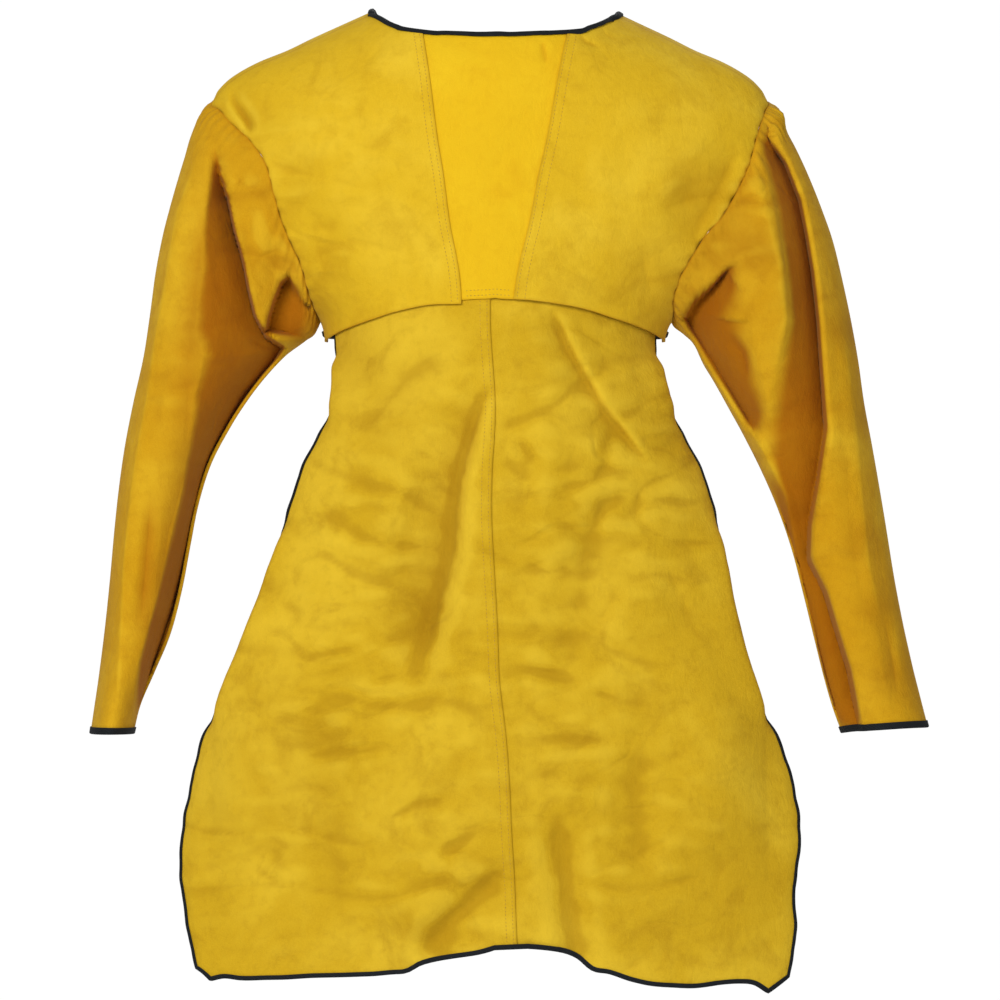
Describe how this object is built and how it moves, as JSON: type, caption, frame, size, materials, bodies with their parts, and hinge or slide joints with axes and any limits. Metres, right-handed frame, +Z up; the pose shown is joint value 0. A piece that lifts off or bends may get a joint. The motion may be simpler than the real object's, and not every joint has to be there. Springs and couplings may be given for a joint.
{
  "type": "welding cape with bib, as worn",
  "caption": "Split leather welding cape with long sleeves and a long bib apron, bound in black tape and held in its worn shape.",
  "frame": {"origin": "middle of the neck opening, at the height where the shoulders carry the garment", "axes": "+Z up, the front of the garment faces -Y, +X to the right as the front is seen"},
  "size_m": [0.8032, 0.2658, 0.9345],
  "materials": {
    "split_leather": "matt suede nap",
    "black_tape": "matt woven tape"
  },
  "bodies": {
    "root": {"chest_panel_left": "split_leather", "chest_panel_right": "split_leather", "chest_centre": "split_leather", "back_yoke": "split_leather", "apron_left": "split_leather", "apron_right": "split_leather", "sleeve_left": "split_leather", "sleeve_right": "split_leather", "neck_binding": "black_tape", "cuff_binding_left": "black_tape", "cuff_binding_right": "black_tape", "apron_binding": "black_tape", "back_binding": "black_tape"}
  },
  "joints": []
}
